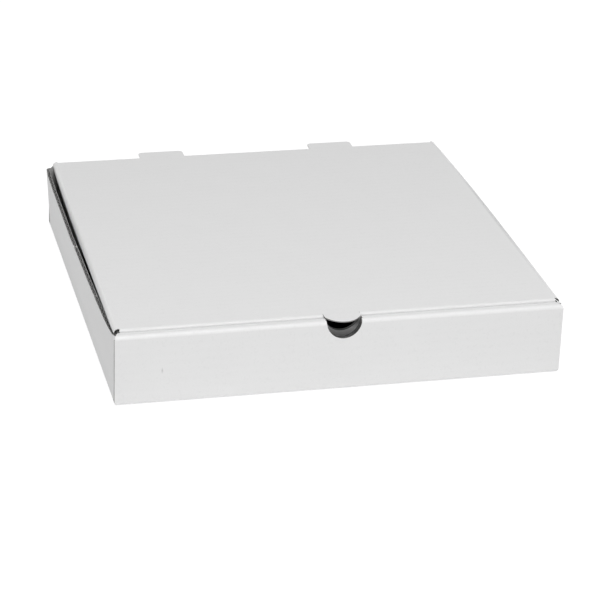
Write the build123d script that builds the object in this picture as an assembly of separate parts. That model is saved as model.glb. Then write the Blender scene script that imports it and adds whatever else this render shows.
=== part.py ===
from build123d import *
from math import hypot, radians, tan
import os

# A plain one-piece pizza box of B-flute board, closed. X runs across the box, Y from front to back, Z up.
# The origin is the middle of the underside. All lengths are in millimetres.

# Outside of the tray.
box_width = 305.0
box_depth = 305.0
front_height = 50.5
side_height = 45.0

# The board, its folds and the air between boards that lie on each other.
board = 2.6
fold_inside = 0.4
layer_gap = 0.2
cut_gap = 0.3
overrun = 12.0

# Front wall: an outer panel rolled over at the top into an inner panel that locks into the base.
front_corner_round = 3.0
roll_end_inset = 4.0
lock_tab_width = 40.0
lock_tab_offset = 80.0

# Thumb notch, half round in the outer front panel and slightly larger in the inner one,
# and the lid's thumb tab above it.
notch_radius = 12.7
notch_inner_drop = 1.6
notch_inner_ease = 0.7
thumb_tab_width = 24.6
thumb_tab_reach = 10.3

# Side walls lean out between the corners, most behind the middle, and rise to the front corner.
side_bow = 3.0
corner_rise = 4.6
wall_place_shares = (0, 0.018, 0.067, 0.112, 0.22, 0.33, 0.445, 0.58, 0.88, 1)
wall_bow_shares = (0, 0, 0, 0.23, 0.5, 0.67, 0.8, 1, 0.93, 0.77)
wall_rise_shares = (1, 0.56, 0, 0, 0, 0, 0, 0, 0, 0)

# Corner flaps of the side walls.
front_flap_length = 62.0
front_flap_taper = 5.0
rear_flap_length = 112.0
rear_flap_height = 41.3
rear_flap_shoulder = 30.0
rear_flap_taper = 6.0

# Lid: panel, tuck flap at the front, dust flaps at the sides, two hinge tongues at the back.
# Its sides draw in towards the hinge, and its front lies a little to the right.
lid_rise = 0.5
lid_side_inset = 0.3
lid_pinch = 2.9
lid_front_shift = 0.9
crease_place_shares = (0, 0.3, 0.51, 0.68, 0.83, 0.93, 1)
pinch_amount_shares = (0, 0, 0.07, 0.21, 0.49, 0.75, 1)
shift_amount_shares = (1, 1, 0.9, 0.7, 0.4, 0.2, 0)
lid_front_relief = 2.5
lid_back_relief = 0.5
lid_front_gap = 0.3
tuck_depth = 37.0
tuck_lean = 6.0
tuck_end_inset = 0.6
tuck_taper = 7.0
dust_depth = 34.0
dust_lean = 14.0
dust_front_ease = 15.0
dust_front_lip = 150.0
dust_front_slant = 16.0
dust_back_gap = 7.6
dust_back_slant = 10.0
tongue_width = 34.0
tongue_offset = 66.0
tongue_reach = 8.5
tongue_round = 3.0

# Lines that the panels share.
half_width = box_width / 2
half_depth = box_depth / 2
half_board = board / 2
fold_outside = fold_inside + board
fold_middle = fold_inside + half_board
front_face = -half_depth
back_face = half_depth
front_flap_face = front_face + board + layer_gap
back_flap_face = back_face - board - layer_gap
roll_back_face = front_flap_face + board + layer_gap + board
roll_middle = roll_back_face - half_board
roll_under = front_height - board - layer_gap
panel_end = half_width - fold_outside
lid_top = front_height + lid_rise
lid_under = lid_top - board
lid_middle = lid_top - half_board
lid_fold_end = lid_top - fold_outside
lid_front_face = roll_back_face + lid_front_gap
lid_front_panel = lid_front_face + fold_outside
lid_back_panel = back_face - fold_outside
lid_front_end = half_width - lid_side_inset - fold_outside
tuck_bend = fold_middle * tan(radians(90 + tuck_lean) / 2)
dust_bend = fold_middle * tan(radians(90 + dust_lean) / 2)
tongue_sweep = hypot(tongue_reach, board)
slot_floor = lid_top - tongue_sweep - cut_gap


def bent_board(points):
    """Section of a board along a path of its middle line, with a creased fold at each corner."""
    return trace(FilletPolyline(*points, radius=fold_middle), line_width=board)


def across(sketch, half_length):
    """Stand a Y-Z section up and draw it out to both sides across the box."""
    return extrude(Plane.YZ * sketch, amount=half_length, both=True)


def through_y(sketch, front, back):
    """Stand an X-Z outline up and draw it out from front to back."""
    return extrude(Plane(origin=(0, front, 0), x_dir=(1, 0, 0), z_dir=(0, -1, 0)) * sketch, amount=front - back)


def block(low, high):
    """Box between two opposite corners."""
    size = [b - a for a, b in zip(low, high)]
    return Pos(*low) * Box(*size, align=(Align.MIN, Align.MIN, Align.MIN))


def outline(*points):
    """Flat face inside a closed run of straight lines."""
    return make_face(Polyline(*points, close=True))


def both_sides(shape):
    """A piece of the right side and its mirror image on the left."""
    return shape + mirror(shape, about=Plane.YZ)


def long_strip():
    """Inner front panel, rolled top, outer front panel, base and back wall: one strip bent four times."""
    path = (
        (roll_middle, board + layer_gap),
        (roll_middle, front_height - half_board),
        (front_face + half_board, front_height - half_board),
        (front_face + half_board, half_board),
        (back_face - half_board, half_board),
        (back_face - half_board, lid_fold_end - cut_gap),
    )
    return across(bent_board(path), half_width)


def strip_margins():
    """What the long strip loses at the right: base beside the side fold, roll ends, rounded panel corner."""
    base_side = block(
        (panel_end, front_face + fold_outside, -overrun),
        (half_width + overrun, back_face - fold_outside, fold_outside),
    )
    roll_end = outline(
        (half_width, front_face),
        (half_width + overrun, front_face),
        (half_width + overrun, roll_back_face + overrun),
        (half_width - roll_end_inset, roll_back_face + overrun),
        (half_width - roll_end_inset, roll_back_face),
    )
    roll = Pos(0, 0, front_height - fold_outside) * extrude(roll_end, amount=fold_outside + overrun)
    inner_end = block(
        (half_width - roll_end_inset, front_flap_face, board + layer_gap / 2),
        (half_width + overrun, roll_back_face + overrun, front_height - fold_outside),
    )
    corner = Rectangle(front_corner_round, front_corner_round, align=(Align.MAX, Align.MIN))
    corner -= Pos(-front_corner_round, front_corner_round) * Circle(front_corner_round)
    corners = through_y(Pos(half_width, 0) * corner, front_face - overrun, front_face + fold_outside)
    corners += through_y(Pos(half_width, 0) * corner, back_face - fold_outside, back_face + overrun)
    return base_side + roll + inner_end + corners


def lock_slot(width, gap, low, high):
    """Room through the base for one lock tab of the inner front panel, or with no gap the tab itself."""
    return block(
        (lock_tab_offset - width / 2 - gap, roll_back_face - board - gap, low),
        (lock_tab_offset + width / 2 + gap, roll_back_face + gap, high),
    )


def round_notch():
    """Half-round thumb notch through the whole front wall."""
    return through_y(Pos(0, front_height) * Circle(notch_radius), front_face - overrun, roll_back_face + overrun)


def inner_notch():
    """Slightly lower and wider round-ended notch in the inner front panel, behind the thumb notch."""
    half_span = notch_radius + notch_inner_ease
    middle = front_height - notch_inner_drop
    end = Pos(0, middle) * Circle(half_span)
    sides = Pos(0, middle) * Rectangle(2 * half_span, notch_inner_drop + overrun, align=(Align.CENTER, Align.MIN))
    return through_y(end + sides, front_flap_face - layer_gap / 2, roll_back_face + overrun)


def tongue_slot():
    """Slot at the top of the back wall from which a hinge tongue of the lid is cut."""
    half_slot = tongue_width / 2 + cut_gap
    return block(
        (tongue_offset - half_slot, back_flap_face, slot_floor),
        (tongue_offset + half_slot, back_face + overrun, lid_top),
    )


def side_wall():
    """Right side wall, lofted through upright sections that lean out by the bow and rise to the front."""
    start = front_flap_face + fold_outside
    run = back_flap_face - fold_outside - start
    sections = []
    for place, bow, rise in zip(wall_place_shares, wall_bow_shares, wall_rise_shares):
        lean = side_bow * bow
        top = side_height + corner_rise * rise
        section = Polyline(
            (half_width - board, start + run * place, fold_outside),
            (half_width, start + run * place, fold_outside),
            (half_width + lean, start + run * place, top),
            (half_width - board + lean, start + run * place, top),
            close=True,
        )
        sections.append(make_face(section))
    return loft(sections, ruled=True)


def side_fold():
    """Fold along the foot of the right side wall."""
    ring = Circle(fold_outside) - Circle(fold_inside)
    ring &= Rectangle(fold_outside, fold_outside, align=(Align.MIN, Align.MAX))
    return through_y(Pos(panel_end, fold_outside) * ring, front_face + fold_outside, back_face - fold_outside)


def corner_fold(face, inward, lean, top):
    """Upright fold from the right side wall into a corner flap, leaning with the wall."""
    ring = Circle(fold_outside) - Circle(fold_inside)
    ring &= Rectangle(fold_outside, fold_outside, align=(Align.MIN, Align.MAX if inward > 0 else Align.MIN))
    base = Pos(panel_end, face + inward * fold_outside, fold_outside) * ring
    way = Vector(lean, 0, top - fold_outside)
    return extrude(base, amount=way.length, dir=way)


def roll_room():
    """Space of the rolled top at its right end, which the front corner fold stays clear of."""
    end = half_width - roll_end_inset + layer_gap
    plan = outline(
        (panel_end - overrun, front_face),
        (half_width + layer_gap, front_face),
        (end, roll_back_face),
        (end, roll_back_face + layer_gap),
        (panel_end - overrun, roll_back_face + layer_gap),
    )
    return Pos(0, 0, roll_under) * extrude(plan, amount=overrun)


def front_flap():
    """Corner flap of the right side wall, held between the two front panels."""
    tip = panel_end - front_flap_length
    shape = outline(
        (panel_end, fold_outside),
        (panel_end, roll_under),
        (tip, roll_under - front_flap_taper),
        (tip, fold_outside + front_flap_taper),
    )
    return through_y(shape, front_flap_face, front_flap_face + board)


def rear_flap():
    """Corner flap of the right side wall, lying against the inside of the back wall."""
    lean = side_bow * wall_bow_shares[-1]
    tip = panel_end - rear_flap_length
    shape = outline(
        (panel_end, fold_outside),
        (panel_end + lean, side_height),
        (panel_end - rear_flap_shoulder, rear_flap_height),
        (tip + rear_flap_taper, rear_flap_height),
        (tip, fold_outside),
    )
    return through_y(shape, back_flap_face - board, back_flap_face)


def tray():
    strip = long_strip() - both_sides(strip_margins())
    strip -= both_sides(lock_slot(lock_tab_width, cut_gap, -overrun, board))
    strip -= both_sides(tongue_slot())
    strip -= round_notch()
    strip -= inner_notch()
    strip += both_sides(lock_slot(lock_tab_width, 0, layer_gap, board + layer_gap))
    side = side_wall() + side_fold()
    side += corner_fold(front_flap_face, 1, 0, side_height + corner_rise) - roll_room()
    side += corner_fold(back_flap_face, -1, side_bow * wall_bow_shares[-1], side_height)
    side += front_flap() + rear_flap()
    return strip + both_sides(side)


def side_crease(shift):
    """Plan of the crease at the right side of a lid whose front is moved over by a shift, from front to back."""
    run = back_face - lid_front_face
    points = []
    for place, pinch, moved in zip(crease_place_shares, pinch_amount_shares, shift_amount_shares):
        points.append((lid_front_end - lid_pinch * pinch + shift * moved, lid_front_face + run * place))
    return points


def lid_strip():
    """Tuck flap, lid panel and back fold: one strip bent twice, trimmed to the lid's outline."""
    foot = lid_fold_end - tuck_depth
    bend = lid_front_panel - tuck_bend
    path = (
        (bend + (lid_middle - foot) * tan(radians(tuck_lean)), foot),
        (bend, lid_middle),
        (back_face - half_board, lid_middle),
        (back_face - half_board, lid_fold_end),
    )
    strip = across(bent_board(path), half_width)
    right_end = lid_front_shift + lid_front_end
    left_end = lid_front_shift - lid_front_end
    right = side_crease(lid_front_shift)[1:]
    left = [(-x, y) for x, y in reversed(side_crease(-lid_front_shift)[1:])]
    plan = outline(
        (left_end, lid_front_panel),
        (left_end + tuck_end_inset, lid_front_panel),
        (left_end + tuck_end_inset, lid_front_panel - overrun),
        (right_end - tuck_end_inset, lid_front_panel - overrun),
        (right_end - tuck_end_inset, lid_front_panel),
        (right_end, lid_front_panel),
        *right,
        *left,
    )
    strip &= extrude(plan, amount=lid_top)
    return strip - Pos(lid_front_shift, 0, 0) * both_sides(tuck_end())


def tuck_end():
    """Slanted cut at the right end of the tuck flap."""
    top = lid_front_end - tuck_end_inset
    foot = lid_fold_end - tuck_depth
    shape = outline(
        (top, lid_fold_end),
        (top - tuck_taper, foot),
        (top - tuck_taper, foot - overrun),
        (top + overrun, foot - overrun),
        (top + overrun, lid_fold_end),
    )
    return through_y(shape, lid_front_face - overrun, lid_front_panel + overrun)


def dust_section():
    """Section of the right side fold and dust flap, measured from the crease, with a strip of the lid panel."""
    foot = lid_fold_end - dust_depth
    return bent_board((
        (-fold_inside, lid_middle),
        (dust_bend, lid_middle),
        (dust_bend - (lid_middle - foot) * tan(radians(dust_lean)), foot),
    ))


def dust_flap(shift):
    """Right side fold and dust flap of the lid, drawn out along the crease."""
    foot = lid_fold_end - dust_depth
    crease = side_crease(shift)
    runs = []
    for (x, y), (next_x, next_y) in zip(crease, crease[1:]):
        way = Vector(next_x - x, next_y - y, 0)
        plane = Plane(origin=(x, y, 0), x_dir=(1, 0, 0), z_dir=(0, -1, 0))
        runs.append(extrude(plane * dust_section(), amount=way.length, dir=way))
    drawn = runs[0].fuse(*runs[1:])
    front_start = lid_front_face + lid_front_relief
    fold_back = back_face - lid_back_relief
    flap_back = back_face - dust_back_gap
    shape = outline(
        (front_start, lid_top),
        (front_start, lid_fold_end),
        (front_start + dust_front_ease, lid_fold_end - board),
        (front_start + dust_front_lip, lid_fold_end - board),
        (front_start + dust_front_lip + dust_front_slant, foot),
        (flap_back - dust_back_slant, foot),
        (flap_back, lid_fold_end),
        (fold_back, lid_fold_end),
        (fold_back, lid_top),
    )
    return drawn & across(shape, half_width + overrun)


def tongue():
    """Right hinge tongue: lid panel that runs straight on past the back fold."""
    root = lid_back_panel - fold_outside
    flat = Pos(tongue_offset, root) * Rectangle(
        tongue_width, back_face + tongue_reach - root, align=(Align.CENTER, Align.MIN)
    )
    tips = flat.vertices().group_by(Axis.Y)[-1]
    return Pos(0, 0, lid_under) * extrude(fillet(tips, tongue_round), amount=board)


def tongue_gap():
    """Cut through the back fold of the lid at the right tongue."""
    half_slot = tongue_width / 2 + cut_gap
    return block(
        (tongue_offset - half_slot, lid_back_panel, lid_fold_end - overrun),
        (tongue_offset + half_slot, back_face + overrun, lid_top + overrun),
    )


def thumb_arc(root, half_chord, reach):
    """Face between a chord and the arc that bulges away from it, towards minus Y."""
    arc = ThreePointArc((-half_chord, root), (0, root - reach), (half_chord, root))
    return make_face(arc + Line((half_chord, root), (-half_chord, root)))


def thumb_tab():
    """Thumb tab: lid panel that runs straight on past the front fold, ending in an arc."""
    half_chord = thumb_tab_width / 2
    flat = thumb_arc(lid_front_face, half_chord, thumb_tab_reach)
    neck = Pos(0, lid_front_face) * Rectangle(
        thumb_tab_width, fold_outside + fold_outside, align=(Align.CENTER, Align.MIN)
    )
    return Pos(0, 0, lid_under) * extrude(flat + neck, amount=board)


def thumb_gap():
    """Hole that the thumb tab leaves in the leaning tuck flap, up through the front fold."""
    half_chord = thumb_tab_width / 2 + cut_gap
    hole = Pos(0, lid_top) * thumb_arc(0, half_chord, thumb_tab_reach + cut_gap)
    below_fold = hole - block_face(half_chord + overrun, lid_fold_end, lid_top + overrun)
    hole += block_face(half_chord, lid_top, lid_top + overrun)
    front = lid_front_face - overrun
    return through_y(hole, front, lid_front_panel) + through_y(below_fold, front, lid_front_panel + board)


def block_face(half_length, low, high):
    """Upright rectangle about the middle, from one height to another."""
    return outline((-half_length, low), (half_length, low), (half_length, high), (-half_length, high))


def lid():
    body = lid_strip() + dust_flap(lid_front_shift)
    body += mirror(dust_flap(-lid_front_shift), about=Plane.YZ)
    body -= both_sides(tongue_gap())
    body -= Pos(lid_front_shift, 0, 0) * thumb_gap()
    return body + both_sides(tongue()) + Pos(lid_front_shift, 0, 0) * thumb_tab()


os.makedirs("parts", exist_ok=True)
export_step(tray(), "parts/tray.step")
export_step(lid(), "parts/lid.step")
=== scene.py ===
from math import cos, pi, radians
import bpy
from mathutils import Matrix, Vector


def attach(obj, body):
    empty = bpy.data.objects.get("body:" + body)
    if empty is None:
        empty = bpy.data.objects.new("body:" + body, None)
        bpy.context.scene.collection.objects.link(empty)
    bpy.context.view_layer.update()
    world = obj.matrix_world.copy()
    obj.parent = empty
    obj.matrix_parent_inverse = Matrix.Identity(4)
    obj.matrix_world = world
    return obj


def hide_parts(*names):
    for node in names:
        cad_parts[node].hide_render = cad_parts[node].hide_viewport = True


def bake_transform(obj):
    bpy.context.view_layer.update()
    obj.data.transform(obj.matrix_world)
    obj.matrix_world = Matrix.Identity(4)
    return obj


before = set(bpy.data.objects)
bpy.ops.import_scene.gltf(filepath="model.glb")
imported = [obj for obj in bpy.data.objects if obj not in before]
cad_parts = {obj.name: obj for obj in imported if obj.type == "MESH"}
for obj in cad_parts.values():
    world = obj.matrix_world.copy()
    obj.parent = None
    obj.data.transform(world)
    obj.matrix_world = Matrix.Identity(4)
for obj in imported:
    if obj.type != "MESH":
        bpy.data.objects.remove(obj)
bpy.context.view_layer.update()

# A closed pizza box of white-lined corrugated board. Lengths below are written in millimetres times mm.
mm = 0.001

# How near a point has to be to a line to count as on it, and how far the normal of a level, a quite level and
# a sideways face has to point its way.
near = 0.1 * mm
level = 0.99
quite_level = 0.999
sideways = 0.05

# The board: two paper liners with a fluted sheet between them.
board = 2.6 * mm
liner = 0.35 * mm
flute_paper = 0.22 * mm
flute_pitch = 6.35 * mm
flute_steps = 8
edge_setback = 0.2 * mm

# Lines of the tray and the lid, as in the part's source.
half_width = 152.5 * mm
half_depth = 152.5 * mm
fold = 3.0 * mm
front_height = 50.5 * mm
side_height = 45.0 * mm
front_middle = -151.2 * mm
inner_middle = -145.6 * mm
inner_half = 148.5 * mm
back_middle = 151.2 * mm
back_top = 47.7 * mm
notch_radius = 12.7 * mm
inner_notch_half = 13.4 * mm
inner_notch_drop = 1.6 * mm
slot_place = 66.0 * mm
slot_half = 17.3 * mm
slot_floor = 41.8 * mm
wall_start = -146.7 * mm
wall_end = 146.7 * mm
side_bow = 3.0 * mm
corner_rise = 4.6 * mm
wall_places = (0, 0.018, 0.067, 0.112, 0.22, 0.33, 0.445, 0.58, 0.88, 1)
wall_bows = (0, 0, 0, 0.23, 0.5, 0.67, 0.8, 1, 0.93, 0.77)
wall_rises = (1, 0.56, 0, 0, 0, 0, 0, 0, 0, 0)
rear_flap_middle = 148.4 * mm
rear_flap_tip = 37.5 * mm
rear_flap_height = 41.3 * mm
rear_flap_shoulder = 119.5 * mm
rear_flap_slope = 0.1146
lid_top = 51.0 * mm
lid_middle = 49.7 * mm
lid_bend_foot = 48.0 * mm
lid_front = -144.0 * mm
lid_crease = 149.2 * mm
lid_pinch = 2.9 * mm
lid_shift = 0.9 * mm
crease_places = (0, 0.3, 0.51, 0.68, 0.83, 0.93, 1)
pinch_amounts = (0, 0, 0.07, 0.21, 0.49, 0.75, 1)
shift_amounts = (1, 1, 0.9, 0.7, 0.4, 0.2, 0)
back_crease = 149.5 * mm
tongue_half = 17.0 * mm
tongue_end = 161.0 * mm
tuck_bend = 1.9 * mm
tuck_bend_y = -142.888 * mm
tuck_foot = 11.0 * mm
tuck_lean = radians(6)
tuck_side = 148.6 * mm
tuck_taper = 7.0 * mm
tab_hole_radius = 12.789 * mm
tab_hole_floor = 40.4 * mm
dust_bend = 2.176 * mm
dust_foot = 14.0 * mm
dust_lean = radians(14)
dust_front = -141.5 * mm
dust_ease = 15.0 * mm
dust_lip = 150.0 * mm
dust_slant = 16.0 * mm
dust_back = 144.9 * mm
dust_back_slant = 10.0 * mm

# Forms of this box alone, which the part's source doesn't have.
corner_clip_start = 149.3 * mm
right_wall_draw = 0.7
rear_rise = 2.3 * mm
rear_rise_run = 6.0 * mm
tongue_crush_run = 5.0 * mm
tongue_root_run = 0.6 * mm
tab_crush = 1.88 * mm
tab_widen = 1.025
tab_root_start = 0.5 * mm
tab_root_end = 4.0 * mm
tab_hole_drop = 1.2 * mm
notch_squeeze = 0.945
roll_notch_ease = 0.45 * mm

# How the meshes are made: rows across the hinge crease, the middle of a panel where a side of the board
# starts, and the turns between faces that end it, mark a fold or stay smooth.
hinge_rows = 6
panel_reach = 120.0 * mm
skin_turn = 0.5
fold_turn = radians(11)
paper_smooth = radians(35)
flute_smooth = radians(50)
cutter_sides = 96
cutter_depth = 12.0 * mm

scene = bpy.context.scene


def only(piece):
    """Leave one piece selected and active."""
    if bpy.context.mode != "OBJECT":
        bpy.ops.object.mode_set(mode="OBJECT")
    bpy.ops.object.select_all(action="DESELECT")
    piece.select_set(True)
    bpy.context.view_layer.objects.active = piece


def edit(piece, kind="FACE"):
    """Open a piece for editing with nothing selected."""
    only(piece)
    bpy.ops.object.mode_set(mode="EDIT")
    bpy.ops.mesh.select_mode(type=kind)
    bpy.ops.mesh.select_all(action="DESELECT")


def done():
    """Close a piece that was open for editing."""
    bpy.ops.object.mode_set(mode="OBJECT")


def pick_faces(piece, wanted):
    """Open a piece for editing with the faces selected whose middle and normal are wanted."""
    edit(piece)
    done()
    for face in piece.data.polygons:
        face.select = wanted(face.center, face.normal)
    bpy.ops.object.mode_set(mode="EDIT")


def pick_points(piece, wanted):
    """Open a piece for editing with the points selected whose place is wanted."""
    edit(piece, "VERT")
    done()
    for point in piece.data.vertices:
        point.select = wanted(point.co)
    bpy.ops.object.mode_set(mode="EDIT")


def apply_modifier(piece, kind, **settings):
    """Add a modifier with its settings and apply it."""
    only(piece)
    bpy.ops.object.modifier_add(type=kind)
    modifier = piece.modifiers[-1]
    for name, value in settings.items():
        setattr(modifier, name, value)
    bpy.ops.object.modifier_apply(modifier=modifier.name)


def along(places, amounts, share):
    """Amount at a share of the way, on straight runs between the given places."""
    for low, high, first, last in zip(places, places[1:], amounts, amounts[1:]):
        if share <= high:
            return first + (last - first) * max(share - low, 0) / (high - low)
    return amounts[-1]


def wall_height(place):
    """Share of the height of a straight side wall."""
    return max((place.z - fold) / (side_height - fold), 0)


def wall_bow(place):
    """Share of the bow of a side wall at a point of it."""
    share = (place.y - wall_start) / (wall_end - wall_start)
    return along(wall_places, wall_bows, share) * wall_height(place)


def wall_move(side, place):
    """How far a point of a straight side wall leans out and rises."""
    share = (place.y - wall_start) / (wall_end - wall_start)
    rise = corner_rise * along(wall_places, wall_rises, share)
    if side < 0:
        lean = -side_bow
        rise += rear_rise * max(place.y - wall_end + rear_rise_run, 0) / rear_rise_run
    else:
        lean = side_bow * (1 - right_wall_draw)
    return Vector((lean * wall_bow(place), 0, rise * wall_height(place)))


def crease_move(side, place):
    """How far a point at the side of the lid draws in and moves over."""
    share = (place.y - lid_front) / (half_depth - lid_front)
    draw_in = lid_pinch * along(crease_places, pinch_amounts, share)
    return Vector((lid_shift * along(crease_places, shift_amounts, share) - side * draw_in, 0, 0))


def at_hinge(middle, normal):
    """Whether a face of the lid belongs to the hinge crease, not to a tongue or a side fold."""
    if abs(middle.x) > lid_crease - lid_pinch:
        return False
    if middle.y > back_crease and abs(normal.z) > quite_level:
        return False
    beside_tongue = abs(abs(middle.x) - slot_place) > tongue_half + edge_setback
    return middle.y > back_crease - fold and beside_tongue


def skin(name, node, start):
    """One side of the board of a CAD node, cut free along its raw edges."""
    piece = bpy.data.objects.new(name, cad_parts[node].data.copy())
    scene.collection.objects.link(piece)
    edit(piece)
    bpy.ops.mesh.select_all(action="SELECT")
    bpy.ops.mesh.remove_doubles(threshold=near / 100)
    bpy.ops.mesh.customdata_custom_splitnormals_clear()
    pick_faces(piece, start)
    bpy.ops.mesh.faces_select_linked_flat(sharpness=skin_turn)
    bpy.ops.mesh.select_all(action="INVERT")
    bpy.ops.mesh.delete(type="FACE")
    if node == "tray":
        pick_faces(piece, panel_end)
        bpy.ops.mesh.delete(type="FACE")
    done()
    return piece


def panel_end(middle, normal):
    """Whether a face is the raw end of the front or back panel, with its rounded corner."""
    return abs(middle.y) > half_depth - board - 1.5 * near and abs(normal.x) > sideways


def split_hinge(piece, name):
    """Cut the hinge crease off a skin of the lid, with a strip of the panel beside it."""
    edit(piece)
    for row in range(hinge_rows):
        place = back_crease - fold * (hinge_rows - row) / hinge_rows
        bpy.ops.mesh.select_all(action="SELECT")
        bpy.ops.mesh.bisect(plane_co=(0, place, 0), plane_no=(0, 1, 0))
    pick_faces(piece, at_hinge)
    bpy.ops.mesh.separate(type="SELECTED")
    done()
    crease = [other for other in bpy.context.selected_objects if other != piece][0]
    crease.name = name
    return crease


def crush_tab(inside):
    """Press the underside of the thumb tab up along its cut edge, as the die leaves it."""
    pick_points(inside, lambda place: place.y < lid_front - near / 2 and place.z > lid_middle - board)
    bpy.ops.transform.translate(value=(0, 0, tab_crush))
    done()


def on_tongue(place):
    """Whether a place of the lid's underside is on a tongue."""
    if place.y <= back_crease - fold / hinge_rows:
        return False
    return abs(abs(place.x) - slot_place) < tongue_half + edge_setback


def tongue_press(place):
    """How far a point of the underside of a tongue is pressed up, most along the cut ends."""
    run = abs(abs(place.x) - slot_place) - tongue_half + tongue_crush_run
    if on_tongue(place) and place.y > back_crease + tongue_root_run / 2 and run > 0:
        return Vector((0, 0, tab_crush * run / tongue_crush_run))
    return Vector()


def crush_tongue_ends(inside):
    """Press the underside of the tongues up along their cut ends, as the die leaves them."""
    cuts = [((0, back_crease + tongue_root_run, 0), (0, 1, 0))]
    for middle in (-slot_place, slot_place):
        for end in (tongue_crush_run - tongue_half, tongue_half - tongue_crush_run):
            cuts.append(((middle + end, 0, 0), (1, 0, 0)))
    for place, way in cuts:
        pick_faces(inside, lambda middle, normal: on_tongue(middle))
        bpy.ops.mesh.bisect(plane_co=place, plane_no=way)
    done()
    follow(inside, tongue_press)


def square_tab(piece):
    """Widen the root of the thumb tab, so that its curve starts nearer to its tip."""
    pick_points(
        piece, lambda place: tab_root_start < lid_front - place.y < tab_root_end
        and place.z > lid_top - fold,
    )
    bpy.ops.transform.resize(value=(tab_widen, 1, 1), center_override=(lid_shift, 0, 0))
    done()


def squeeze_notch(piece):
    """Draw the left edge of the thumb notch in, with its right edge where it is."""
    pick_points(
        piece, lambda place: abs(place.x) < inner_notch_half + 2 * edge_setback
        and place.y < inner_middle + board and place.z > front_height - notch_radius - board,
    )
    bpy.ops.transform.resize(value=(notch_squeeze, 1, 1), center_override=(notch_radius, 0, 0))
    pick_points(
        piece, lambda place: -inner_notch_half < place.x < 0 and place.z > front_height - fold - near
        and fold - near < place.y + half_depth < 3 * fold,
    )
    bpy.ops.transform.translate(value=(roll_notch_ease, 0, 0))
    done()


def deepen_tab_hole(piece):
    """Stretch the hole that the thumb tab leaves in the tuck flap down along the flap."""
    pick_points(
        piece, lambda place: abs(place.x - lid_shift) < tab_hole_radius + edge_setback
        and tab_hole_floor - edge_setback < place.z < lid_top - fold,
    )
    done()
    rim = [point.co for point in piece.data.vertices if point.select]
    top = max(rim, key=lambda place: place.z)
    stretch = 1 + tab_hole_drop / (top.z - tab_hole_floor)
    bpy.ops.object.mode_set(mode="EDIT")
    bpy.ops.transform.resize(value=(1, stretch, stretch), center_override=top)
    done()


def lift_back_corner(piece):
    """Raise the rear end of the left side wall at its fold."""
    pick_faces(piece, lambda middle, normal: middle.x < fold - half_width)
    bpy.ops.mesh.bisect(plane_co=(0, wall_end - rear_rise_run, 0), plane_no=(0, 1, 0))
    pick_points(
        piece, lambda place: place.x < fold - half_width + near and place.z > side_height - 5 * near
        and wall_end - near < place.y < half_depth - board - near,
    )
    bpy.ops.transform.translate(value=(0, 0, rear_rise))
    done()


def straighten_right_wall(piece):
    """Take most of the bow out of the right side wall, which stands in under the lid."""
    for point in piece.data.vertices:
        on_wall = point.co.x > half_width - board - 2 * near and point.co.z > fold
        if on_wall and wall_start < point.co.y < half_depth - board - near:
            point.co.x -= right_wall_draw * side_bow * wall_bow(point.co)


def clip_back_corners(piece):
    """Cut the top corners of the back wall off a skin or the flutes of the tray."""
    for side in (-1, 1):
        pick_faces(piece, lambda middle, normal: middle.y > half_depth - board - near)
        bpy.ops.mesh.bisect(
            plane_co=(side * corner_clip_start, 0, back_top), plane_no=(side, 0, 1), clear_outer=True,
        )
        done()


def thicken(piece, faces, edges):
    """Give a skin the thickness of its paper, inwards, with cut paper along its rim."""
    piece.data.materials.clear()
    piece.data.materials.append(faces)
    piece.data.materials.append(edges)
    folds = piece.data.attributes.new("fold", "FLOAT", "FACE")
    for face, mark in zip(piece.data.polygons, folds.data):
        face.material_index = 0
        mark.value = max(abs(part) for part in face.normal) < cos(fold_turn)
    apply_modifier(
        piece, "SOLIDIFY", thickness=liner, offset=-1, use_even_offset=True,
        material_offset=1, material_offset_rim=1,
    )
    only(piece)
    bpy.ops.object.shade_smooth_by_angle(angle=paper_smooth)
    apply_modifier(piece, "WEIGHTED_NORMAL", keep_sharp=True, weight=80)


def flute_sheet(name, low, high, length):
    """Fluted sheet lying flat: one flute shaped from a grid, then repeated. Flutes run along X."""
    bpy.ops.object.select_all(action="DESELECT")
    bpy.ops.mesh.primitive_grid_add(x_subdivisions=1, y_subdivisions=flute_steps, size=1)
    sheet = bpy.context.object
    sheet.name = name
    edit(sheet, "VERT")
    bpy.ops.mesh.select_all(action="SELECT")
    bpy.ops.transform.resize(value=(length, flute_pitch, 1))
    rise = (board - 2 * liner - flute_paper) / 2
    for step in range(flute_steps + 1):
        row = flute_pitch * (step / flute_steps - 0.5)
        pick_points(sheet, lambda place: abs(place.y - row) < flute_pitch / flute_steps / 4)
        bpy.ops.transform.translate(value=(0, 0, rise * cos(2 * pi * step / flute_steps)))
    bpy.ops.mesh.select_all(action="SELECT")
    first = round(low / flute_pitch) * flute_pitch
    bpy.ops.transform.translate(value=(0, first, 0))
    done()
    count = int((high - first) / flute_pitch) + 2
    apply_modifier(
        sheet, "ARRAY", count=count, use_relative_offset=False, use_constant_offset=True,
        constant_offset_displace=(0, flute_pitch, 0), use_merge_vertices=True, merge_threshold=near / 10,
    )
    trim(sheet, (0, low, 0), (0, -1, 0))
    trim(sheet, (0, high, 0), (0, 1, 0))
    return sheet


def trim(sheet, place, way):
    """Cut off what lies beyond a place, in the way given."""
    edit(sheet)
    bpy.ops.mesh.select_all(action="SELECT")
    bpy.ops.mesh.bisect(plane_co=place, plane_no=way, clear_outer=True)
    done()


def stand(sheet, place, turn):
    """Turn and move a flat sheet into its panel."""
    only(sheet)
    sheet.rotation_euler = turn
    sheet.location = place
    bpy.ops.object.transform_apply(location=True, rotation=True, scale=True)


def follow(piece, move):
    """Move each point of a piece as far as the move gives for its place."""
    for point in piece.data.vertices:
        point.co += move(point.co)


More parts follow.
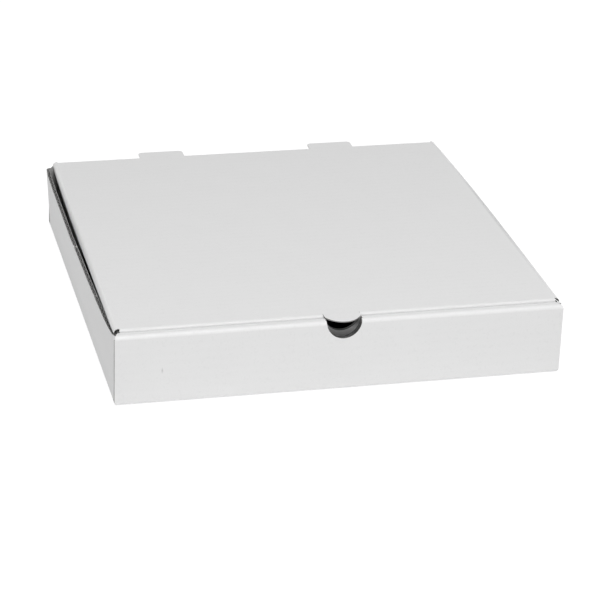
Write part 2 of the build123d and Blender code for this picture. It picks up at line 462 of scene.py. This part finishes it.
def flutes_done(sheet, body):
    """Give a fluted sheet its paper and fix it to its body."""
    apply_modifier(sheet, "SOLIDIFY", thickness=flute_paper, offset=0, use_even_offset=True)
    sheet.data.materials.clear()
    sheet.data.materials.append(fluted_paper)
    only(sheet)
    bpy.ops.object.shade_smooth_by_angle(angle=flute_smooth)
    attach(sheet, body)


def carve(sheet, cutter):
    """Cut a sheet with a loose shape, and clear the shape away."""
    apply_modifier(sheet, "BOOLEAN", object=cutter, operation="DIFFERENCE", solver="EXACT")
    bpy.data.objects.remove(cutter)


def round_cutter(place, radius, turn):
    """Loose cylinder to carve with."""
    bpy.ops.object.select_all(action="DESELECT")
    bpy.ops.mesh.primitive_cylinder_add(
        vertices=cutter_sides, radius=radius, depth=cutter_depth, location=place, rotation=turn,
    )
    return bpy.context.object


def block_cutter(low, high):
    """Loose block between two corners to carve with."""
    bpy.ops.object.select_all(action="DESELECT")
    middle = [(a + b) / 2 for a, b in zip(low, high)]
    bpy.ops.mesh.primitive_cube_add(size=1, location=middle)
    block = bpy.context.object
    block.scale = [b - a for a, b in zip(low, high)]
    bpy.ops.object.transform_apply(location=True, rotation=True, scale=True)
    return block


def set_socket(tree, socket, value):
    """Link an output to a socket, or write a plain value on it."""
    if isinstance(value, bpy.types.NodeSocket):
        tree.links.new(value, socket)
    else:
        socket.default_value = value


def calc(tree, operation, *values):
    """Result of a math node."""
    made = tree.nodes.new("ShaderNodeMath")
    made.operation = operation
    for socket, value in zip(made.inputs, values):
        set_socket(tree, socket, value)
    return made.outputs["Value"]


def grain(tree, coords, scale, stretch, detail):
    """Cloudy noise about zero, stretched along the axes of the box."""
    place = tree.nodes.new("ShaderNodeMapping")
    place.inputs["Scale"].default_value = stretch
    tree.links.new(coords, place.inputs["Vector"])
    cloud = tree.nodes.new("ShaderNodeTexNoise")
    cloud.inputs["Scale"].default_value = scale
    cloud.inputs["Detail"].default_value = detail
    tree.links.new(place.outputs["Vector"], cloud.inputs["Vector"])
    return calc(tree, "SUBTRACT", cloud.outputs["Fac"], 0.5)


def flute_wave(tree, source):
    """Wave in step with the flutes: up and down on the front and back, front to back elsewhere."""
    facing = tree.nodes.new("ShaderNodeSeparateXYZ")
    tree.links.new(source.outputs["Normal"], facing.inputs["Vector"])
    place = tree.nodes.new("ShaderNodeSeparateXYZ")
    tree.links.new(source.outputs["Object"], place.inputs["Vector"])
    upright = calc(tree, "ABSOLUTE", facing.outputs["Y"])
    climb = calc(tree, "SUBTRACT", place.outputs["Z"], place.outputs["Y"])
    way = calc(tree, "MULTIPLY_ADD", climb, upright, place.outputs["Y"])
    return calc(tree, "SINE", calc(tree, "MULTIPLY", way, 2 * pi / flute_pitch))


def raise_up(tree, height, depth, below=None):
    """Bump of a given depth on top of another."""
    bump = tree.nodes.new("ShaderNodeBump")
    bump.inputs["Distance"].default_value = depth
    tree.links.new(height, bump.inputs["Height"])
    if below:
        tree.links.new(below, bump.inputs["Normal"])
    return bump.outputs["Normal"]


def spot(tree, coords, middle, reach):
    """One at the middle of a marked spot, nothing beyond its reach."""
    place = tree.nodes.new("ShaderNodeVectorMath")
    place.operation = "SUBTRACT"
    tree.links.new(coords, place.inputs[0])
    place.inputs[1].default_value = middle
    spread = tree.nodes.new("ShaderNodeVectorMath")
    spread.operation = "DIVIDE"
    tree.links.new(place.outputs["Vector"], spread.inputs[0])
    spread.inputs[1].default_value = reach
    far = tree.nodes.new("ShaderNodeVectorMath")
    far.operation = "LENGTH"
    tree.links.new(spread.outputs["Vector"], far.inputs[0])
    return calc(tree, "MAXIMUM", calc(tree, "SUBTRACT", 1.0, far.outputs["Value"]), 0.0)


def seam_shade(tree, coords, place, reach):
    """One along the seam between the lid and the rolled front, nothing beyond its reach."""
    split = tree.nodes.new("ShaderNodeSeparateXYZ")
    tree.links.new(coords, split.inputs["Vector"])
    far = calc(tree, "ABSOLUTE", calc(tree, "SUBTRACT", split.outputs["Y"], place))
    return calc(tree, "MAXIMUM", calc(tree, "SUBTRACT", 1.0, calc(tree, "DIVIDE", far, reach)), 0.0)


# What all the papers share: where cracks and flecks start in the noise, tones, a lighter tone on the folds
# (stretched paper, partly a painted highlight), shine and relief.
crack_start = 0.07
fleck_start = 0.21
seam_reach = 1.2 * mm
fold_whitening_and_highlight = 0.04
darkest_tone = 0.25
paper_shine = 0.35
fold_shine = 0.38
fold_gloss = 0.2
fibre_gloss = 0.25
swell_depth = 0.25 * mm
fibre_depth = 0.03 * mm


def board_paper(name, colour, clouds, fibres, flecks, washboard, gloss, marks=(), seam=0):
    """Paper of the board: clouded tone, fibres, dark flecks, the flutes showing through, cracked folds a
    little lighter (stretched paper, partly a painted highlight), marked spots and painted shade along the
    seam at the front of the lid.
    """
    material = bpy.data.materials.new(name)
    material.use_nodes = True
    tree = material.node_tree
    shader = tree.nodes["Principled BSDF"]
    source = tree.nodes.new("ShaderNodeTexCoord")
    coords = source.outputs["Object"]
    cloud = grain(tree, coords, scale=38, stretch=(1, 1, 1), detail=3)
    fibre = grain(tree, coords, scale=1, stretch=(1900, 520, 520), detail=2)
    speck = grain(tree, coords, scale=620, stretch=(1, 1, 1), detail=0)
    swell = grain(tree, coords, scale=11, stretch=(1, 1, 1), detail=1)
    split = grain(tree, coords, scale=1, stretch=(520, 2300, 2300), detail=2)
    wave = flute_wave(tree, source)
    fold_mark = tree.nodes.new("ShaderNodeAttribute")
    fold_mark.attribute_name = "fold"
    on_fold = fold_mark.outputs["Fac"]
    crack = calc(tree, "MULTIPLY", calc(tree, "GREATER_THAN", split, crack_start), on_fold)
    fleck = calc(tree, "GREATER_THAN", speck, fleck_start)
    tone = calc(tree, "MULTIPLY_ADD", cloud, clouds, 1.0)
    tone = calc(tree, "MULTIPLY_ADD", fibre, fibres, tone)
    tone = calc(tree, "MULTIPLY_ADD", wave, washboard, tone)
    tone = calc(tree, "MULTIPLY_ADD", fleck, -flecks, tone)
    tone = calc(tree, "MULTIPLY_ADD", crack, -flecks, tone)
    for middle, reach, depth in marks:
        tone = calc(tree, "MULTIPLY_ADD", spot(tree, coords, middle, reach), -depth, tone)
    # painted shade in the seam between the lid's front fold and the rolled front
    if seam:
        shade = calc(tree, "MULTIPLY", seam_shade(tree, coords, lid_front, seam_reach), on_fold)
        tone = calc(tree, "MULTIPLY_ADD", shade, -seam, tone)
    # folds a little lighter: stretched paper, and partly a painted highlight along the creases
    tone = calc(tree, "MULTIPLY_ADD", on_fold, fold_whitening_and_highlight, tone)
    tone = calc(tree, "MAXIMUM", tone, darkest_tone)
    tint = tree.nodes.new("ShaderNodeVectorMath")
    tint.operation = "SCALE"
    tint.inputs["Vector"].default_value = colour
    tree.links.new(tone, tint.inputs["Scale"])
    tree.links.new(tint.outputs["Vector"], shader.inputs["Base Color"])
    rough = calc(tree, "MULTIPLY_ADD", on_fold, -fold_gloss, 1 - gloss)
    tree.links.new(calc(tree, "MULTIPLY_ADD", fibre, fibre_gloss, rough), shader.inputs["Roughness"])
    shine = calc(tree, "MULTIPLY_ADD", on_fold, fold_shine, paper_shine)
    shader.inputs["Specular IOR Level"].default_value = paper_shine
    tree.links.new(shine, shader.inputs["Specular IOR Level"])
    relief = raise_up(tree, swell, swell_depth)
    relief = raise_up(tree, wave, washboard * 2 * mm, relief)
    relief = raise_up(tree, fibre, fibre_depth, relief)
    relief = raise_up(tree, crack, -fibre_depth, relief)
    tree.links.new(relief, shader.inputs["Normal"])
    return material


# Marks on the white faces, each with its middle, its reach along the axes and how much darker it is:
# a scuff on the front, painted shade on the tuck flap in the notch under the thumb tab, and painted shade on
# the folds at the sides of the lid, where they go down into the gap by the walls.
white_scuff_and_shade_marks = (
    ((-121 * mm, -half_depth, 24 * mm), (0.8 * mm, 3 * mm, 2.4 * mm), 0.3),
    # painted shade: the tuck flap deep in the thumb notch, under the tab
    ((11 * mm, lid_front, 45.5 * mm), (7 * mm, 5 * mm, 5 * mm), 0.8),
    # painted shade: the folds at the sides of the lid, where they go down into the gap by the walls
    ((-151.3 * mm, 30 * mm, 49 * mm), (3.3 * mm, 175 * mm, 5 * mm), 0.4),
    ((151.3 * mm, 30 * mm, 49 * mm), (3.3 * mm, 175 * mm, 5 * mm), 0.4),
)
# Marks on the raw edges: painted shade on the cut edges deep in the thumb notch, two light ticks on the left
# wall, and the pale cut ends of the tongues.
edge_ticks_and_shade_marks = [
    # painted shade: the cut edges and flutes deep in the thumb notch, most at its right side
    ((0, -148.5 * mm, 44 * mm), (17 * mm, 9 * mm, 12 * mm), 1.3),
    ((12.5 * mm, -149 * mm, 45 * mm), (9 * mm, 8 * mm, 9 * mm), 0.8),
    ((-153.6 * mm, 8 * mm, side_height), (5 * mm, 2.2 * mm, 4 * mm), -1.6),
    ((-152.8 * mm, -75 * mm, side_height), (5 * mm, 1.6 * mm, 4 * mm), -0.8),
]
for tongue_place in (-slot_place, slot_place):
    for cut_end in (-tongue_half, tongue_half):
        middle = (tongue_place + cut_end, tongue_end, lid_middle)
        edge_ticks_and_shade_marks.append((middle, (5 * mm, 40 * mm, 4.5 * mm), -1.5))

white_liner = board_paper(
    "white_liner", colour=(0.80, 0.80, 0.80), clouds=0.025, fibres=0.03, flecks=0.02, washboard=0.003,
    gloss=0.42, marks=white_scuff_and_shade_marks, seam=0.2,
)
grey_liner = board_paper(
    "grey_liner", colour=(0.42, 0.42, 0.415), clouds=0.12, fibres=0.22, flecks=0.14, washboard=0.02,
    gloss=0.25,
)
cut_paper = board_paper(
    "cut_paper", colour=(0.39, 0.39, 0.385), clouds=0.1, fibres=0.3, flecks=0.1, washboard=0, gloss=0.1,
    marks=edge_ticks_and_shade_marks,
)
fluted_paper = board_paper(
    "fluted_paper", colour=(0.33, 0.33, 0.325), clouds=0.12, fibres=0.3, flecks=0.12, washboard=0, gloss=0.2,
    marks=edge_ticks_and_shade_marks,
)


def tray_liners():
    """The two papers of the tray, each started from its side of the base."""
    outside = skin("tray_white_liner", "tray", lambda middle, normal: normal.z < -level and middle.z < near)
    inside = skin(
        "tray_grey_liner", "tray",
        lambda middle, normal: normal.z > level and abs(middle.z - board) < near
        and abs(middle.y) < panel_reach,
    )
    for piece in (outside, inside):
        clip_back_corners(piece)
        lift_back_corner(piece)
        straighten_right_wall(piece)
        squeeze_notch(piece)
    thicken(outside, white_liner, cut_paper)
    thicken(inside, grey_liner, cut_paper)
    for piece in (outside, inside):
        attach(piece, "tray")
    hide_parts("tray")


def lid_liners():
    """The two papers of the lid, each started from its side of the panel, with the hinge crease split off."""
    outside = skin(
        "lid_white_liner", "lid", lambda middle, normal: normal.z > level and middle.z > lid_top - near,
    )
    inside = skin(
        "lid_grey_liner", "lid",
        lambda middle, normal: normal.z < -level and abs(middle.z - lid_top + board) < near
        and abs(middle.y) < panel_reach,
    )
    creases = (split_hinge(outside, "hinge_white_liner"), split_hinge(inside, "hinge_grey_liner"))
    crush_tab(inside)
    crush_tongue_ends(inside)
    for piece in (outside, inside):
        square_tab(piece)
        deepen_tab_hole(piece)
    thicken(outside, white_liner, cut_paper)
    thicken(inside, grey_liner, cut_paper)
    for piece in (outside, inside):
        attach(piece, "lid")
    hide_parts("lid")
    starts = ((0, half_depth, back_top), (0, half_depth - board, back_top))
    ends = ((0, back_crease, lid_top), (0, back_crease - fold, lid_top - board))
    for crease, face, start, end in zip(creases, (white_liner, grey_liner), starts, ends):
        pick_points(crease, lambda place: place.z < lid_bend_foot + near)
        bpy.ops.mesh.select_mode(type="EDGE")
        bpy.ops.transform.translate(value=(0, 0, back_top - lid_bend_foot))
        done()
        thicken(crease, face, cut_paper)
        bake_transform(crease)


def long_flutes(name, half_length, low, high, place):
    """Flutes lying across an upright panel of the front or back."""
    sheet = flute_sheet(name, low, high, 2 * (half_length - edge_setback))
    stand(sheet, (0, place, 0), (radians(90), 0, 0))
    return sheet


def front_flutes():
    """Flutes of both layers of the rolled front, cut by the thumb notch."""
    outer = long_flutes("front_flutes", half_width, fold, front_height - fold, front_middle)
    flutes_done(outer, "tray")
    upright = (radians(90), 0, 0)
    carve(outer, round_cutter((0, front_middle, front_height), notch_radius + edge_setback, upright))
    squeeze_notch(outer)
    inner = long_flutes("inner_front_flutes", inner_half, fold, front_height - fold, inner_middle)
    flutes_done(inner, "tray")
    half = inner_notch_half + edge_setback
    middle = front_height - inner_notch_drop
    carve(inner, round_cutter((0, inner_middle, middle), half, upright))
    carve(inner, block_cutter(
        (-half, inner_middle - board, middle), (half, inner_middle + board, front_height),
    ))
    squeeze_notch(inner)


def back_flutes():
    """Flutes of the back wall, cut by the two slots of the tongues."""
    back = long_flutes("back_flutes", half_width, fold, back_top, back_middle)
    clip_back_corners(back)
    flutes_done(back, "tray")
    for side in (-1, 1):
        half = slot_half + edge_setback
        carve(back, block_cutter(
            (side * slot_place - half, back_middle - board, slot_floor - edge_setback),
            (side * slot_place + half, back_middle + board, lid_top),
        ))


def side_flutes(side, name):
    """Flutes of a side wall, leaning out with it."""
    sheet = flute_sheet(name, wall_start, wall_end, side_height - edge_setback - fold)
    half_way = (side_height - edge_setback + fold) / 2
    stand(sheet, (side * (half_width - board / 2), 0, half_way), (0, radians(-90), 0))
    follow(sheet, lambda place: wall_move(side, place))
    flutes_done(sheet, "tray")


def shoulder_move(place):
    """How far a point of a rear corner flap rises towards its fold."""
    rise = rear_flap_slope * max(abs(place.x) - rear_flap_shoulder, 0)
    return Vector((0, 0, rise * (place.z - fold) / (rear_flap_height - fold)))


def rear_flap_flutes(side, name):
    """Flutes of a rear corner flap, higher towards its fold."""
    low, high = sorted((side * rear_flap_tip, side * (half_width - fold)))
    sheet = flute_sheet(name, low, high, rear_flap_height - edge_setback - fold)
    half_way = (rear_flap_height - edge_setback + fold) / 2
    stand(sheet, (0, rear_flap_middle, half_way), (0, radians(-90), radians(-90)))
    follow(sheet, shoulder_move)
    flutes_done(sheet, "tray")


def tuck_flutes():
    """Flutes of the tuck flap, cut by the hole that the thumb tab leaves."""
    high = -tuck_bend
    low = -(lid_middle - tuck_foot) / cos(tuck_lean) + edge_setback
    sheet = flute_sheet("tuck_flutes", low, high, 2 * tuck_side)
    stand(sheet, (lid_shift, tuck_bend_y, lid_middle), (radians(90) + tuck_lean, 0, 0))
    for side in (-1, 1):
        drop = lid_bend_foot - tuck_foot
        end = lid_shift + side * (tuck_side - edge_setback)
        trim(sheet, (end, 0, lid_bend_foot), (side * drop, 0, -tuck_taper))
    flutes_done(sheet, "lid")
    middle = (lid_shift, lid_front, tab_hole_floor - tab_hole_drop + tab_hole_radius)
    carve(sheet, round_cutter(middle, tab_hole_radius + edge_setback, (radians(90), 0, 0)))


def below_lip(start, end, top, slant):
    """Room below a run of the lip at the front of the dust flaps, its far end at the lip's depth."""
    room = block_cutter(
        (-half_width - fold, dust_front + start, dust_foot - fold),
        (half_width + fold, dust_front + end + edge_setback, top + edge_setback),
    )
    pick_points(room, lambda place: place.y > dust_front + start + edge_setback and place.z > dust_foot)
    bpy.ops.transform.translate(value=(0, 0, lid_bend_foot - board - top))
    pick_points(room, lambda place: place.y > dust_front + start + edge_setback and place.z < dust_foot)
    bpy.ops.transform.translate(value=(0, slant, 0))
    done()
    return room


def dust_flutes(side, name):
    """Flutes of a dust flap, leaning in, with the lip along its front."""
    low = -(lid_middle - dust_foot) / cos(dust_lean) + edge_setback
    high = -dust_bend
    sheet = flute_sheet(name, dust_front, dust_back, high - low)
    turn = radians(-90) + side * dust_lean
    bend = Vector((side * (lid_crease + dust_bend), 0, lid_middle))
    reach = Vector(((low + high) / 2, 0, 0))
    stand(sheet, bend + Matrix.Rotation(turn, 3, "Y") @ reach, (0, turn, 0))
    drop = lid_bend_foot - dust_foot
    trim(sheet, (0, dust_back - edge_setback, lid_bend_foot), (0, drop, -dust_back_slant))
    follow(sheet, lambda place: crease_move(side, place))
    flutes_done(sheet, "lid")
    carve(sheet, below_lip(-fold, dust_ease, lid_bend_foot, 0))
    carve(sheet, below_lip(dust_ease, dust_lip, lid_bend_foot - board, dust_slant))


def tongue_flutes(side, name):
    """Flutes of a tongue, between its crushed ends."""
    half_length = tongue_half - tongue_crush_run
    sheet = flute_sheet(name, back_crease - 2 * fold, tongue_end - edge_setback, 2 * half_length)
    stand(sheet, (side * slot_place, 0, lid_middle), (0, 0, 0))
    flutes_done(sheet, "lid")


tray_liners()
lid_liners()
front_flutes()
back_flutes()
tuck_flutes()
for side, hand in ((-1, "left"), (1, "right")):
    side_flutes(side, hand + "_wall_flutes")
    rear_flap_flutes(side, hand + "_rear_flap_flutes")
    dust_flutes(side, hand + "_dust_flutes")
    tongue_flutes(side, hand + "_tongue_flutes")


# The studio: strengths of the light, and the camera as fitted to the photograph's view of the box.
room_light = 0.375
floor_size = 14.0
floor_grey = 0.9
floor_light = 0.1
floor_glow = 1.15
floor_glow_share = 0.78
lamp_size = 0.8
high_lamp = (-0.05, -0.92, 1.86)
high_lamp_power = 23.3
low_lamp = (-0.8, -1.9, 0.4)
low_lamp_power = 1.6
camera_lens = 149.64
camera_sensor = 36
camera_turn = radians(-14.08)
camera_tilt = radians(24.95)
camera_roll = radians(2.07)
camera_aim = (8.0 * mm, 0, -5.1 * mm)
camera_distance = 1800.5 * mm


def to_camera(tree):
    """One for what the camera sees, straight or in a mirror, nothing for the light on the box."""
    path = tree.nodes.new("ShaderNodeLightPath")
    seen = calc(tree, "MAXIMUM", path.outputs["Is Camera Ray"], path.outputs["Is Glossy Ray"])
    return calc(tree, "MAXIMUM", seen, path.outputs["Is Transmission Ray"])


def white_floor():
    """Pale floor that the camera sees as white, with the shadow of the box kept faint."""
    bpy.ops.object.select_all(action="DESELECT")
    bpy.ops.mesh.primitive_plane_add(size=floor_size)
    floor = bpy.context.object
    floor.name = "floor"
    material = bpy.data.materials.new("studio_floor")
    material.use_nodes = True
    tree = material.node_tree
    shader = tree.nodes["Principled BSDF"]
    shader.inputs["Base Color"].default_value = (floor_grey, floor_grey, floor_grey, 1)
    shader.inputs["Roughness"].default_value = 0.9
    shader.inputs["Emission Color"].default_value = (1, 1, 1, 1)
    shader.inputs["Emission Strength"].default_value = floor_light
    glow = tree.nodes.new("ShaderNodeEmission")
    glow.inputs["Strength"].default_value = floor_glow
    mix = tree.nodes.new("ShaderNodeMixShader")
    tree.links.new(calc(tree, "MULTIPLY", to_camera(tree), floor_glow_share), mix.inputs["Fac"])
    tree.links.new(shader.outputs["BSDF"], mix.inputs[1])
    tree.links.new(glow.outputs["Emission"], mix.inputs[2])
    tree.links.new(mix.outputs["Shader"], tree.nodes["Material Output"].inputs["Surface"])
    floor.data.materials.append(material)


def white_room():
    """Even light from all round, white to the camera."""
    world = bpy.data.worlds.new("studio_room")
    scene.world = world
    world.use_nodes = True
    tree = world.node_tree
    light = tree.nodes["Background"]
    light.inputs["Color"].default_value = (1, 1, 1, 1)
    light.inputs["Strength"].default_value = room_light
    seen = tree.nodes.new("ShaderNodeBackground")
    seen.inputs["Color"].default_value = (1, 1, 1, 1)
    mix = tree.nodes.new("ShaderNodeMixShader")
    tree.links.new(to_camera(tree), mix.inputs["Fac"])
    tree.links.new(light.outputs["Background"], mix.inputs[1])
    tree.links.new(seen.outputs["Background"], mix.inputs[2])
    tree.links.new(mix.outputs["Shader"], tree.nodes["World Output"].inputs["Surface"])


def soft_lamp(place, power):
    """Large soft lamp that looks at the box."""
    lamp = bpy.data.lights.new("soft_lamp", "AREA")
    lamp.size = lamp_size
    lamp.energy = power
    holder = bpy.data.objects.new("soft_lamp", lamp)
    scene.collection.objects.link(holder)
    holder.location = place
    holder.rotation_euler = (-Vector(place)).to_track_quat("-Z", "Y").to_euler()


def camera_at_photo():
    """Camera where the photograph was taken from."""
    camera = bpy.data.cameras.new("camera")
    camera.lens = camera_lens
    camera.sensor_width = camera_sensor
    eye = bpy.data.objects.new("camera", camera)
    scene.collection.objects.link(eye)
    turn = Matrix.Rotation(camera_turn, 4, "Z") @ Matrix.Rotation(radians(90) - camera_tilt, 4, "X")
    turn = turn @ Matrix.Rotation(camera_roll, 4, "Z")
    back_off = Matrix.Translation((0, 0, camera_distance))
    eye.matrix_world = Matrix.Translation(camera_aim) @ turn @ back_off
    scene.camera = eye


scene.view_settings.view_transform = "Standard"
white_floor()
white_room()
soft_lamp(high_lamp, high_lamp_power)
soft_lamp(low_lamp, low_lamp_power)
camera_at_photo()
